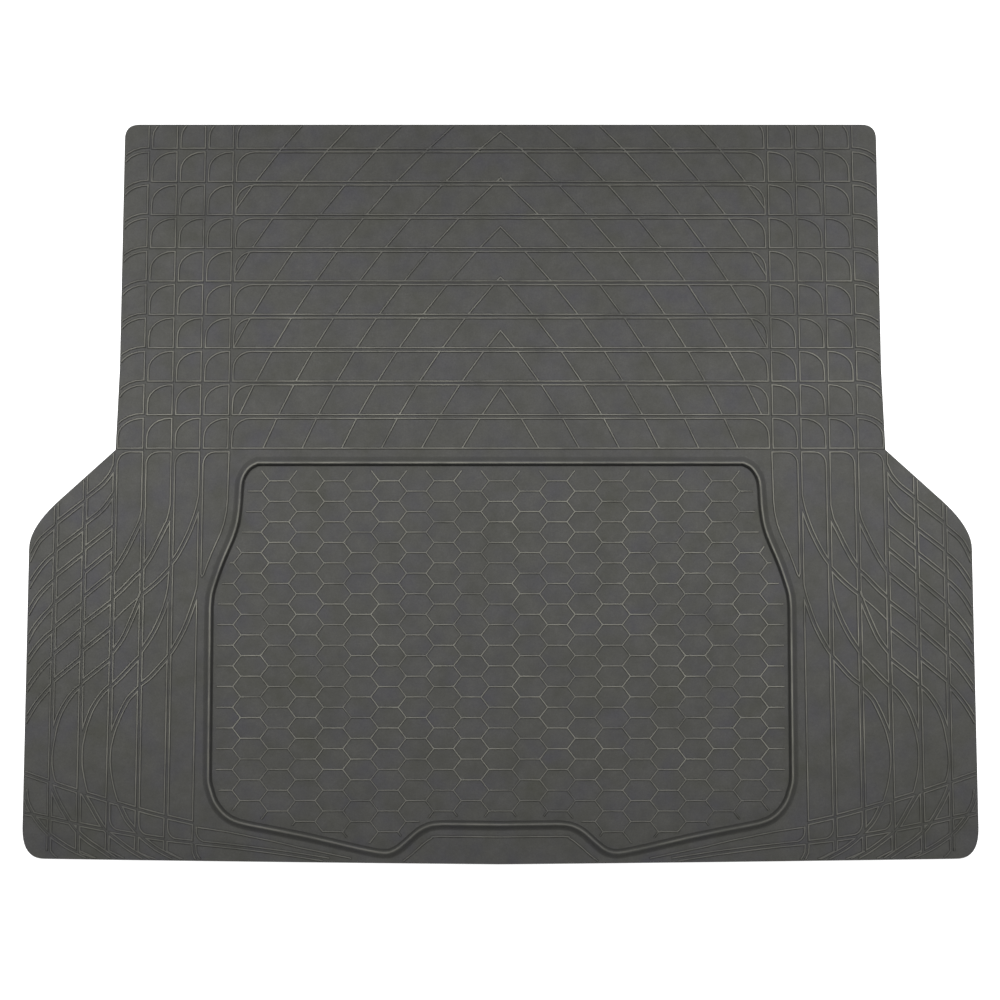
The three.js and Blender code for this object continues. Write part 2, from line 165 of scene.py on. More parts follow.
# Honeycomb in the tray
COMB_MARGIN = 10.2
COMB_PITCH_X = 40.4
COMB_PITCH_Y = 30.15
COMB_FLAT = 28.8
COMB_CENTRE_FLAT = 33.8
COMB_TOP_Y = 14.8
COMB_COLUMNS = 12
# Two rows start above the top line, for the slanted ribs that come down from there
COMB_ROWS = range(-2, 20)

# Wing cells start below the lowest row; their outer corners are small arcs
WING_FIELD_TOP = 57.5
WING_ARC = 17.5

# Roads are the long channels between the wings' columns, numbered from 1 next to the tray. They end
# ROAD_END above the sill, but the innermost one turns along its foot.
ROAD_LEVELS = (0.0, -160.0, -330.0)
ROAD_END = 20.0
INNER_ROAD_END = -500.0
INNER_FOOT = [(-447.1, -518), (-446.6, -527), (-443.6, -534), (-438, -542), (-434, -548)]

# The flank is the rib beside the lip that ends in a narrow tip. The innermost road has no right kerb
# in the bare area, from that tip down to the sill.
FLANK = [
    (-399.7, 57.5), (-400.8, 20), (-401.7, -13), (-403.3, -30), (-406.7, -47), (-411.7, -62),
    (-418.3, -77), (-425, -92), (-430, -105), (-434.2, -117), (-436.6, -123.5), (-438.4, -125.5),
    (-439.8, -122),
]
BARE_KERB = [(-442.5, -122), (-430, -122), (-430, -490.5), (-448, -490.5)]

# Straight falling channels of the wings: the road they leave, Y there, and Y at the next road
STRAIGHT_CHANNELS = [
    (5, [(-13.7, -47), (-54.4, -87.3), (-90.5, -124.6), (-128.5, -164.2), (-164.5, -199.7),
         (-202, -239), (-243.7, -278.9)]),
    (4, [(-50.5, -85.3), (-83.8, -120), (-119.3, -155.3), (-161.3, -195.3), (-199.5, -234.5),
         (-245.5, -280.3)]),
]

# Curved falling channels of the wings, by points on their middle line
CURVED_CHANNELS = [
    [(-653.6, -51), (-665.8, -61.5), (-677.5, -72.5), (-687, -89), (-699, -116)],
    [(-654, -91), (-667.5, -103), (-682.5, -122), (-699, -151)],
    [(-654.5, -130), (-666, -140), (-682, -159), (-699, -190)],
    [(-655, -165), (-661.7, -174.5), (-671, -184), (-686.7, -205), (-699, -231)],
    [(-655.3, -204.5), (-668, -215), (-683, -232.5), (-700, -259)],
    [(-655.8, -244), (-667, -254), (-682, -272), (-701, -301)],
    [(-656.3, -284), (-667.5, -296), (-683, -316), (-702, -349)],
    [(-611.5, -284), (-621.7, -291), (-631.7, -303), (-640, -316), (-645.8, -328), (-650, -340),
     (-652.8, -352), (-655.6, -368)],
    [(-567.3, 39), (-569.7, 34), (-574, 25), (-580, 17), (-586.7, 9.5), (-595, 2.5), (-610.9, -10)],
    [(-567.9, -2), (-576, -14), (-582.5, -23), (-591, -32), (-600, -39), (-611.4, -48)],
    [(-571.5, -285), (-580, -293), (-588, -303), (-597, -317), (-602.5, -330), (-606.7, -342),
     (-609.7, -353), (-613.2, -370)],
    [(-524.6, -24), (-529, -43), (-538.9, -65), (-553.3, -94), (-569.2, -119)],
    [(-525.8, -115.5), (-536.7, -125), (-554, -143.3), (-569.6, -157.5)],
    [(-526.4, -148), (-533.6, -169), (-544, -194), (-555, -217.5), (-570.6, -238.5)],
    [(-527.3, -242), (-537, -251.7), (-555.6, -271.7), (-571.4, -287)],
    [(-527.6, -286.5), (-536.7, -295.6), (-545, -304.4), (-551, -315), (-557.3, -328),
     (-562.2, -340), (-567, -353), (-571.6, -372)],
    [(-483, -20), (-487.5, -41), (-493.1, -53), (-499.4, -66), (-513.3, -94), (-526, -113)],
    [(-483.7, -111), (-497.8, -126.7), (-513.3, -141), (-526.6, -151.5)],
    [(-484.4, -120), (-486.4, -145), (-492.8, -170.6), (-502, -193), (-512.8, -214), (-527.2, -235.5)],
    [(-485.2, -241), (-500, -258), (-515, -274), (-527.6, -283.5)],
    [(-440.8, -3), (-445.8, -26.7), (-453, -48), (-459.4, -64), (-472.8, -90.6), (-484.4, -107.5)],
    [(-442.9, -138.2), (-444.4, -145.4), (-447.8, -157.5), (-451.6, -168.8), (-459, -190),
     (-466.5, -207), (-477.8, -228), (-485.4, -239)],
]

# Channels along the sill, and the ones that curve down between them
SILL_CHANNELS = [
    [(-703, -410), (-660.6, -424.5), (-618.3, -438.5), (-577, -451), (-530.6, -464.5), (-488.3, -475.8),
     (-447, -485)],
    [(-703, -468.5), (-667, -475.5), (-617, -486.3), (-563, -496.7), (-513, -505), (-475, -510),
     (-447, -513), (-397, -518), (-347, -524), (-297, -531), (-250, -538.5)],
    [(-694.5, -436), (-691, -455.6), (-681, -474.4), (-672.8, -486), (-662, -498), (-649, -508),
     (-627, -522), (-605, -532), (-588, -540)],
    [(-656.5, -428), (-652, -441), (-641.7, -461.7), (-627, -485.6), (-618, -496.5), (-604, -509),
     (-585, -522), (-565, -535), (-556, -541)],
    [(-610, -441), (-598, -460.6), (-587, -480), (-576, -495.6), (-559, -509.5), (-539, -524),
     (-520.6, -534.4), (-508, -542)],
    [(-556, -459), (-545.6, -480), (-534, -494), (-522, -506.5), (-504, -520.6), (-486, -530.6),
     (-465, -541)],
]

# Single ribs: one in the wings, two along the sill
SINGLE_RIBS = [
    [(-528.3, -147), (-530.5, -155), (-541, -164.4), (-552, -174.4), (-567, -189.5)],
    [(-442, -491.3), (-400, -497.5), (-363, -505), (-330, -511.7), (-298, -519.5), (-263, -526.7),
     (-218, -536)],
    [(-142, -540), (-130, -530.8), (-120, -521.7), (-110, -513.3), (-100, -506.7), (-90, -504.4),
     (0, -505.3)],
]

# Where a road's right kerb leaves its straight line: the cells' broad lower left corners
WIDE_FEET = {
    6: [(-653.2, -368.4), (-654.9, -382), (-655.4, -398), (-653.3, -414), (-649.8, -424.8)],
    5: [(-610.5, -370.5), (-611.4, -385), (-611.1, -402), (-608.5, -418), (-605.5, -431),
        (-602.8, -441)],
    4: [(-569, -372.6), (-570.3, -386), (-570.3, -400), (-568.5, -415), (-565.5, -431), (-562.5, -442),
        (-558.5, -454)],
}
# Roads whose right kerb turns into the lower sill channel by an arc
ROUND_FEET = (1, 2, 3, 4)
SILL_CORNER_ARC = 14.0
# Height over the sill at which a right kerb's foot is measured
FOOT_LEVEL = 70.0
# Room from a turn up to the kerb's point before it, from the channel it meets down to the kerb's next
# piece, and between two points of a kerb where it is cut
TURN_START = 4.0
TURN_END = 0.4
POINT_ROOM = 1.0

# Small ribs at the sill's edge, each from the foot of a road's right kerb, the outermost first
FOOT_RIBS = [
    [(0, 20), (7, 12), (16, 7)], [(0, 20), (4, 15), (26, 9), (44, 4)], [(0, 20), (20, 10), (32, 4)],
    [(0, 19), (14, 12), (32, 6)], [(0, 19), (20, 9), (34, 4)],
]

# Colours, linear
WHITE = (1, 1, 1, 1)
RUBBER = (0.08, 0.08, 0.072, 1)
RUBBER_SLATE = (0.081, 0.08, 0.09, 1)
RUBBER_OLIVE = (0.073, 0.074, 0.057, 1)
RUBBER_PALE = (0.11, 0.109, 0.103, 1)
RUBBER_DARK = (0.056, 0.056, 0.053, 1)
RIB_PALE = (0.25, 0.246, 0.213, 1)
# Painted shade, with some dirt, in the hollows beside the ribs and the lip
HOLLOW_SHADE_AND_DIRT = (0.03, 0.03, 0.028, 1)
FLOOR_GREY = (0.8, 0.8, 0.8, 1)

# Mottling of the rubber, layer over layer: colour, noise scale, detail and roughness, then the noise
# at which the layer begins and is full, and its share where it is full
MOTTLING = [
    (RUBBER_SLATE, 19, 3, 0.5, 0.42, 0.66, 1),
    (RUBBER_OLIVE, 9, 2, 0.5, 0.5, 0.72, 0.8),
    (RUBBER_PALE, 30, 6, 0.7, 0.36, 0.66, 0.7),
]
# Fine grain: scale, detail and roughness of its noise, then two values of it and what each one gives
GRAIN_NOISE = (420, 4, 0.7)
GRAIN_DARK = (0.3, 0.75, 0, 0.45)
GRAIN_ROUGHNESS = (0.3, 0.7, 0.62, 0.82)
GRAIN_BUMP = 0.35
GRAIN_DEPTH = 0.0004
SPECULAR = 0.2

# How pale the crests are rubbed, by wear, in patches and by place in metres, and how dark the painted
# shade and dirt in the hollows are: two values, and the share at each. The patches' noise is scale,
# detail and roughness.
RUB_NOISE = (14, 5, 0.6)
RUB_WEAR = (0.1, 1, 0, 1)
RUB_PATCHES = (0.34, 0.66, 0.25, 1)
RUB_SIDES = (0.55, 0.65, 1, 0.6)
RUB_SILL = (-0.46, -0.38, 0.5, 1)
RUB_FRONT = (0.18, 0.4, 1, 0.6)
HOLLOW_SHADE_SHARE = (0, -1, 0, 0.9)

# Stage, lamps and camera, in metres, degrees and watts, with the lens in millimetres
FLOOR_HALF = 12.0
FLOOR_GAP = 0.0005
FLOOR_GLOW = 0.8
FLOOR_ROUGHNESS = 0.9
WORLD_LIGHT = 0.22
LAMP_PLACE = (0.71, 1.2, 2.5)
LAMP_AIM = (0.76, 0.02, 0)
LAMP_SIZE = 0.5
LAMP_SPREAD = 51.0
LAMP_POWER = 5.6
CAMERA_PLACE = (-0.00074, -0.0846, 2.0455)
CAMERA_TILT = 2.0
CAMERA_LENS = 50.0
CAMERA_SENSOR = 36.0


# Curves and lines

def catmull(points, steps):
    """Smooth curve through the points, with an even number of steps between each two."""
    ends = [points[0]] + list(points) + [points[-1]]
    curve = [points[0]]
    for i in range(1, len(ends) - 2):
        p0, p1, p2, p3 = ends[i - 1:i + 3]
        for step in range(1, steps + 1):
            t = step / steps
            curve.append(tuple(
                0.5 * (2 * b + (c - a) * t + (2 * a - 5 * b + 4 * c - d) * t * t
                       + (3 * b - a - 3 * c + d) * t ** 3)
                for a, b, c, d in zip(p0, p1, p2, p3)))
    return curve


def bend(start, control, end, steps):
    """Points of a quadratic curve, without its start."""
    points = []
    for step in range(1, steps + 1):
        t = step / steps
        weights = ((1 - t) ** 2, 2 * t * (1 - t), t * t)
        points.append(tuple(sum(w * p[axis] for w, p in zip(weights, (start, control, end)))
                            for axis in (0, 1)))
    return points


def quarter(left, top, width, height, steps=ARC_STEPS):
    """Quarter of an ellipse from its left end up to its top."""
    turns = [math.pi / 2 * i / steps for i in range(steps + 1)]
    return [(left + width * (1 - math.cos(a)), top - height * (1 - math.sin(a))) for a in turns]


def mirrored(line):
    return [(-x, y) for x, y in line]


def closed_from_half(half):
    inner = [point for point in half if point[0] < -0.01]
    return [half[0]] + inner + [half[-1]] + mirrored(inner)[::-1]


def offset_path(path, distance):
    """Closed path moved sideways, inwards where the distance is positive."""
    moved = []
    for i, (x, y) in enumerate(path):
        a = Vector((x - path[i - 1][0], y - path[i - 1][1])).normalized()
        following = path[(i + 1) % len(path)]
        b = Vector((following[0] - x, following[1] - y)).normalized()
        reach = distance / (1 + a.dot(b))
        moved.append((x - (a.y + b.y) * reach, y + (a.x + b.x) * reach))
    return moved


def offset_line(line, distance):
    """Open line moved to its left by the distance."""
    moved = []
    for i, (x, y) in enumerate(line):
        before = line[max(i - 1, 0)]
        after = line[min(i + 1, len(line) - 1)]
        a = Vector((x - before[0], y - before[1])) if i else Vector((after[0] - x, after[1] - y))
        b = Vector((after[0] - x, after[1] - y)) if i < len(line) - 1 else a.copy()
        a.normalize()
        b.normalize()
        reach = distance / (1 + a.dot(b))
        moved.append((x - (a.y + b.y) * reach, y + (a.x + b.x) * reach))
    return moved


def inside(point, polygon):
    x, y = point
    within = False
    for i, (xi, yi) in enumerate(polygon):
        xj, yj = polygon[i - 1]
        if (yi > y) != (yj > y) and x < (xj - xi) * (y - yi) / (yj - yi) + xi:
            within = not within
    return within


def crossing(a, b, c, d):
    """Where segment a-b meets segment c-d, as shares of both, or None where they are parallel."""
    rx, ry = b[0] - a[0], b[1] - a[1]
    sx, sy = d[0] - c[0], d[1] - c[1]
    scale = rx * sy - ry * sx
    if abs(scale) < 1e-9:
        return None
    qx, qy = c[0] - a[0], c[1] - a[1]
    return (qx * sy - qy * sx) / scale, (qx * ry - qy * rx) / scale


def box_of(points):
    xs = [x for x, _ in points]
    ys = [y for _, y in points]
    return min(xs), min(ys), max(xs), max(ys)


def clipped(line, polygon, keep_inside=True):
    """Stretches of a line that lie inside a polygon, or outside it."""
    box = box_of(polygon)
    pieces = []
    piece = []
    for a, b in zip(line, line[1:]):
        cuts = [0.0, 1.0]
        low_x, low_y, high_x, high_y = box_of((a, b))
        near = low_x <= box[2] and high_x >= box[0] and low_y <= box[3] and high_y >= box[1]
        for i in range(len(polygon) if near else 0):
            meet = crossing(a, b, polygon[i - 1], polygon[i])
            if meet and 0 < meet[0] < 1 and 0 <= meet[1] < 1:
                cuts.append(meet[0])
        cuts.sort()
        for low, high in zip(cuts, cuts[1:]):
            at = [(a[0] + (b[0] - a[0]) * t, a[1] + (b[1] - a[1]) * t) for t in (low, high)]
            middle = ((at[0][0] + at[1][0]) / 2, (at[0][1] + at[1][1]) / 2)
            if (near and inside(middle, polygon)) == keep_inside:
                piece = piece or [at[0]]
                piece.append(at[1])
            elif piece:
                pieces.append(piece)
                piece = []
    return pieces + ([piece] if piece else [])


def channel_x(index, y):
    return -CHANNEL_X[index] + LEAN * y


def row_y(row):
    return ROW_START + ROW_PITCH * row


def height_on(line, x):
    """Y of a line that runs from left to right, at one X."""
    for (ax, ay), (bx, by) in zip(line, line[1:]):
        if ax <= x <= bx:
            return ay + (by - ay) * (x - ax) / (bx - ax)
    return line[-1][1]


# Outlines

def mat_outline():
    half = [(0, FRONT_Y), (-PANEL_HALF + PANEL_CORNER, FRONT_Y)]
    corner_end = (-PANEL_HALF, FRONT_Y - PANEL_CORNER)
    half += bend(half[-1], (-PANEL_HALF, FRONT_Y), corner_end, CORNER_STEPS)
    half += [FLARE, SHOULDER_TOP, SHOULDER_END]
    half += bend(SHOULDER_END, (-WING_HALF, WING_CORNER_Y), (-WING_HALF, WING_TOP_Y), BEND_STEPS)
    half.append((-SILL_HALF, SILL_END_Y + SILL_CORNER[1]))
    corner_end = (-SILL_HALF + SILL_CORNER[0], SILL_END_Y)
    half += bend(half[-1], (-SILL_HALF, SILL_END_Y), corner_end, BEND_STEPS)
    half += bend(corner_end, SILL_BOW, (0, SILL_Y), BEND_STEPS)
    return closed_from_half(half)


def lip_path():
    waist = catmull([(-LIP_TOP_HALF, LIP_TOP_Y)] + LIP_WAIST, LONG_CURVE_STEPS)
    foot = catmull([LIP_SIDE_END] + LIP_FOOT, LONG_CURVE_STEPS)
    return closed_from_half([(0, LIP_TOP_Y)] + waist + foot + [(0, LIP_NOTCH_Y)])


# Patterns, each as a list of lines of the left half

def cell_ring(column, row):
    """Full cell whose upper left corner is one long arc."""
    low = row_y(row) + HALF_CHANNEL
    high = row_y(row + 1) - HALF_CHANNEL
    left_low = channel_x(column + 1, low) + HALF_CHANNEL
    left_high = channel_x(column + 1, high) + HALF_CHANNEL
    right_low = channel_x(column, low) - HALF_CHANNEL
    right_high = channel_x(column, high) - HALF_CHANNEL
    arc = quarter(left_high, high, right_high - left_high - CELL_FLAT, CELL_ARC)
    return [(left_low, low)] + arc + [(right_high, high), (right_low, low), (left_low, low)]


def edge_cell(row):
    """Cell at the sheet's edge: two arcs, or one over a straight foot in the lowest row."""
    low = row_y(row) + HALF_CHANNEL
    high = row_y(row + 1) - HALF_CHANNEL
    right_low = channel_x(CELL_COLUMNS, low) - HALF_CHANNEL
    right_high = channel_x(CELL_COLUMNS, high) - HALF_CHANNEL
    if row == 0:
        left = right_low - EDGE_CELL
        arc = quarter(left, high, right_high - left, EDGE_ARC[1])
        return [(left, low)] + arc + [(right_low, low), (left, low)]
    width, height = EDGE_ARC
    top = quarter(right_high - width, high, width, height)
    base = row_y(row) - HALF_CHANNEL + EDGE_GAP
    bottom = quarter(right_low - width - EDGE_GAP, base, width + EDGE_GAP, height + EDGE_GAP)
    return top + bottom[::-1]


def band_ring(row):
    """One row of the band in the middle, across both halves."""
    low = row_y(row) + HALF_CHANNEL
    high = row_y(row + 1) - HALF_CHANNEL
    left_low = channel_x(0, low) + HALF_CHANNEL
    left_high = channel_x(0, high) + HALF_CHANNEL
    half = [(left_low, low)] + quarter(left_high, high, *BAND_ARC)
    return half + mirrored(half)[::-1] + [half[0]]


def fall_x(rib, row):
    """X of a falling rib where it meets the foot of a row."""
    place = rib - FALL_AXIS
    swept = FALL_STEP * (FALL_GROWTH ** row - 1) / (FALL_GROWTH - 1)
    spacing = FALL_SPACING + FALL_SPREAD * row + FALL_FLARE * row ** 2
    return FALL_START + swept + place * spacing + place ** 2 * (FALL_SKEW + FALL_SKEW_STEP * row)


def field_lines():
    """Rows of cells and of the band, whose falling ribs run on between the last two rows."""
    lines = []
    for row in range(ROWS):
        lines.append(band_ring(row))
        lines.append(edge_cell(row))
        lines += [cell_ring(column, row) for column in range(CELL_COLUMNS)]
        open_top = row == ROWS - 2
        open_low = row == ROWS - 1
        top = row_y(row + 1) - (0 if open_top else HALF_CHANNEL)
        low = row_y(row) + (0 if open_low else HALF_CHANNEL)
        corner = quarter(channel_x(0, top) + HALF_CHANNEL, row_y(row + 1) - HALF_CHANNEL, *BAND_ARC)
        left_half = [(0, low), (channel_x(0, low) + HALF_CHANNEL, low)] + corner
        left_half += [(corner[-1][0], top), (0, top)]
        for rib in range(1, FALLS + 1):
            fall = [(fall_x(rib, row), row_y(row)), (fall_x(rib, row + 1), row_y(row + 1))]
            for piece in clipped(fall, left_half):
                if math.dist(piece[0], piece[-1]) > SHORT_FALL:
                    lines.append([(0 if x > -MIDDLE_GAP else x, y) for x, y in piece])
    return lines


def comb_lines(border):
    """Honeycomb of flat and slanted ribs, cut at the border."""
    slant = COMB_PITCH_X - COMB_FLAT
    lines = []
    for column in range(COMB_COLUMNS):
        start = -(COMB_CENTRE_FLAT / 2 + column * COMB_PITCH_X)
        end = start + COMB_FLAT if column else 0
        phase = column % 2 / 2
        for row in COMB_ROWS:
            y = COMB_TOP_Y - (row + phase) * COMB_PITCH_Y
            if y <= COMB_TOP_Y:
                lines.append([(start, y), (end, y)])
            for side in (-1, 1):
                lines.append([(start, y), (start - slant, y + side * COMB_PITCH_Y / 2)])
    return [piece for line in lines for piece in clipped(line, border)]


def road(index):
    """Middle line of a road, down to the sill."""
    top = WING_FIELD_TOP + HALF_CHANNEL if index <= CELL_COLUMNS + 1 else ROW_START
    low = INNER_ROAD_END if index == 1 else SILL_Y + ROAD_END
    line = [(channel_x(index, y), y) for y in (top, *ROAD_LEVELS, low)]
    return line + INNER_FOOT if index == 1 else line


def road_kerbs(index):
    """Right and left kerb of a road, the right one with the cells' round corners."""
    line = road(index)
    right = offset_line(line, HALF_CHANNEL)
    left = offset_line(line, -HALF_CHANNEL)
    kerb_x = channel_x(index, SILL_Y + FOOT_LEVEL) + HALF_CHANNEL
    detours = []
    if index in WIDE_FEET:
        foot = catmull(WIDE_FEET[index], CURVE_STEPS)
        detours.append((foot, height_on(SILL_CHANNELS[0], kerb_x)))
    if index in ROUND_FEET:
        arc = SILL_CORNER_ARC
        start = height_on(SILL_CHANNELS[1], kerb_x) + HALF_CHANNEL + arc
        end = height_on(SILL_CHANNELS[1], kerb_x + arc) + HALF_CHANNEL
        turn = [(x, -y) for x, y in quarter(kerb_x, -end, arc, start - end)]
        detours.append((turn, height_on(SILL_CHANNELS[1], kerb_x)))
    for foot, middle in detours:
        back = middle - HALF_CHANNEL - TURN_END
        above = [point for point in right if point[1] > foot[0][1] + TURN_START]
        below = [point for point in right if point[1] < back - POINT_ROOM]
        right = above + foot + [(channel_x(index, back) + HALF_CHANNEL, back)] + below
    return right, left


def wing_lines():
    """Kerbs of the wings' channels, cut away where another channel passes."""
    channels = []
    for index, ends in STRAIGHT_CHANNELS:
        for near_y, far_y in ends:
            channels.append([(channel_x(index, near_y), near_y), (channel_x(index + 1, far_y), far_y)])
    channels += [catmull(points, CURVE_STEPS) for points in CURVED_CHANNELS + SILL_CHANNELS]
    pairs = [road_kerbs(index) for index in range(1, len(CHANNEL_X))]
    for line in channels:
        pairs.append((offset_line(line, HALF_CHANNEL), offset_line(line, -HALF_CHANNEL)))
    beds = [right + left[::-1] for right, left in pairs]
    kerbs = []
    for i, pair in enumerate(pairs):
        for kerb, side in zip(pair, (HALF_CHANNEL, -HALF_CHANNEL)):
            if i <= CELL_COLUMNS:
                top = WING_FIELD_TOP - (WING_ARC if side > 0 else 0)
                under = [point for point in kerb if point[1] < top - POINT_ROOM]
                kerb = [(channel_x(i + 1, top) + side, top)] + under
            bare = i == 0 and side > 0
            pieces = clipped(kerb, BARE_KERB, False) if bare else [kerb]
            for j, bed in enumerate(beds):
                if j != i:
                    pieces = [p for piece in pieces for p in clipped(piece, bed, False)]
            kerbs += pieces
    for index in range(CELL_COLUMNS + 1):
        right = channel_x(index, WING_FIELD_TOP) - (HALF_CHANNEL if index else 0)
        left = channel_x(index + 1, WING_FIELD_TOP) + HALF_CHANNEL
        arc = quarter(left, WING_FIELD_TOP, WING_ARC, WING_ARC, WING_ARC_STEPS)
        kerbs.append(arc + [(right, WING_FIELD_TOP)])
    kerbs.append(FLANK)
    kerbs += [catmull(points, LONG_CURVE_STEPS) for points in SINGLE_RIBS]
    for index, points in zip(range(len(CHANNEL_X) - 1, 1, -1), FOOT_RIBS):
        base = channel_x(index, SILL_Y) + HALF_CHANNEL
        kerbs.append(catmull([(base + x, SILL_Y + y) for x, y in points], CURVE_STEPS))
    return [line for line in kerbs if len(line) > 1]


# Graph of ribs and its skin

def planar_graph(lines):
    """Nodes with their links, with a node wherever two lines meet."""
    segments = [[a, b, [0.0, 1.0], box_of((a, b))] for line in lines for a, b in zip(line, line[1:])]
    segments = [s for s in segments if math.dist(s[0], s[1]) > 1e-6]
    segments.sort(key=lambda segment: segment[3][0])
    for i, p in enumerate(segments):
        for q in segments[i + 1:]:
            if q[3][0] > p[3][2] + GRIP:
                break
            if q[3][1] > p[3][3] + GRIP or q[3][3] < p[3][1] - GRIP:
                continue
            meet = crossing(p[0], p[1], q[0], q[1])
            if meet is None:
                continue
            slack_p = GRIP / math.dist(p[0], p[1])
            slack_q = GRIP / math.dist(q[0], q[1])
            if -slack_p < meet[0] < 1 + slack_p and -slack_q < meet[1] < 1 + slack_q:
                p[2].append(min(1, max(0, meet[0])))
                q[2].append(min(1, max(0, meet[1])))
    nodes = []
    links = []
    buckets = {}

    def node_at(x, y):
        column, row = math.floor(x / GRIP), math.floor(y / GRIP)
        for i in (column - 1, column, column + 1):
            for j in (row - 1, row, row + 1):
                for found in buckets.get((i, j), ()):
                    if math.dist(nodes[found], (x, y)) < GRIP:
                        return found
        nodes.append((x, y))
        links.append(set())
        buckets.setdefault((column, row), []).append(len(nodes) - 1)
        return len(nodes) - 1

    for a, b, cuts, _ in segments:
        ids = [node_at(a[0] + (b[0] - a[0]) * t, a[1] + (b[1] - a[1]) * t) for t in sorted(cuts)]
        for near, far in zip(ids, ids[1:]):
            if near != far:
                links[near].add(far)
                links[far].add(near)
    for i, joined in enumerate(links):
        if len(joined) == 1:
            other = next(iter(joined))
            if math.dist(nodes[i], nodes[other]) < STUB:
                joined.discard(other)
                links[other].discard(i)
    return nodes, links


def split_long(nodes, links):
    """Add a node near both ends of every long link, so that its shading stays even."""
    for near in range(len(nodes)):
        for far in [other for other in links[near] if near < other]:
            a, b = nodes[near], nodes[far]
            length = math.dist(a, b)
            if length < LONG_LINK:
                continue
            links[near].discard(far)
            links[far].discard(near)
            chain = [near]
            for share in (END_LINK / length, 1 - END_LINK / length):
                nodes.append((a[0] + (b[0] - a[0]) * share, a[1] + (b[1] - a[1]) * share))
                links.append(set())
                chain.append(len(nodes) - 1)
            chain.append(far)
            for i, j in zip(chain, chain[1:]):
                links[i].add(j)
                links[j].add(i)


def rib_skin(lines, section, height):
    """Vertices and faces of rounded ribs along the lines, rooted in the sheet."""
    nodes, links = planar_graph(lines)
    split_long(nodes, links)
    verts = []
    faces = []
    crest = {}
    corners = {}
    order = {}

    def column(x, y, step):
        first = len(verts)
        for distance, z, wear_and_shade in section:
            verts.append((x + step.x * distance, y + step.y * distance, SHEET + z, wear_and_shade))
        return list(range(first, len(verts)))

    for i, (x, y) in enumerate(nodes):
        if not links[i]:
            continue
        crest[i] = len(verts)
        verts.append((x, y, SHEET + height, 1))
        spokes = []
        for other in links[i]:
            away = Vector((nodes[other][0] - x, nodes[other][1] - y)).normalized()
            spokes.append((math.atan2(away.y, away.x), other, away))
        spokes.sort(key=lambda spoke: spoke[0])
        order[i] = [spoke[1] for spoke in spokes]
        if len(spokes) == 1:
            away = spokes[0][2]
            side = Vector((-away.y, away.x))
            back = away * END_REACH
            corners[i] = [column(x, y, side - back), column(x, y, -side - back)]
            continue
        corners[i] = []
        for n, (_, _, a) in enumerate(spokes):
            b = spokes[(n + 1) % len(spokes)][2]
            sine = a.x * b.y - a.y * b.x
            step = Vector((-a.y, a.x))
            if abs(sine) > STRAIGHT_SINE or a.dot(b) > 0:
                step = (a + b) / (sine if abs(sine) > LEAST_SINE else LEAST_SINE)
            if step.length > LONGEST_MITRE:
                step = step.normalized() * LONGEST_MITRE
            corners[i].append(column(x, y, step))

    def left_of(i, other):
        return corners[i][order[i].index(other)]

    def right_of(i, other):
        if len(order[i]) == 1:
            return corners[i][1]
        return corners[i][order[i].index(other) - 1]

    for i in order:
        for other in order[i]:
            near = left_of(i, other)
            far = right_of(other, i)
            for level in range(len(section) - 1):
                faces.append((near[level + 1], far[level + 1], far[level], near[level]))
            faces.append((crest[i], crest[other], far[-1], near[-1]))
        if len(order[i]) == 1:
            left, right = corners[i]
            for level in range(len(section) - 1):
                faces.append((left[level + 1], left[level], right[level], right[level + 1]))
            faces.append((crest[i], left[-1], right[-1]))
    return verts, faces


def swept_skin(path, section):
    """Vertices and faces of a section carried round a closed path."""
    verts = []
    for distance, z, wear_and_shade in section:
        verts += [(x, y, SHEET + z, wear_and_shade) for x, y in offset_path(path, distance)]
    count = len(path)
    faces = []
    for ring in range(len(section) - 1):
        for i in range(count):
            j = (i + 1) % count
            low = ring * count
            faces.append((low + i, low + j, low + count + j, low + count + i))
    return verts, faces


def sheet_skin(outline):
    """The flat sheet, with its upper edge rounded."""
    levels = [(0.0, 0.0), (0.0, SHEET - SHEET_EDGE)]
    for i in range(1, EDGE_STEPS + 1):
        turn = math.pi / 2 * i / EDGE_STEPS
        levels.append((SHEET_EDGE * (1 - math.cos(turn)), SHEET - SHEET_EDGE * (1 - math.sin(turn))))
    verts = []
    for distance, z in levels:
        verts += [(x, y, z, 0) for x, y in offset_path(outline, distance)]
    count = len(outline)
    faces = []
    for ring in range(len(levels) - 1):
        for i in range(count):
            j = (i + 1) % count
            low = ring * count
            faces.append((low + i, low + j, low + count + j, low + count + i))
    faces.append(tuple(range(count))[::-1])
    faces.append(tuple(range((len(levels) - 1) * count, len(levels) * count)))
    return verts, faces


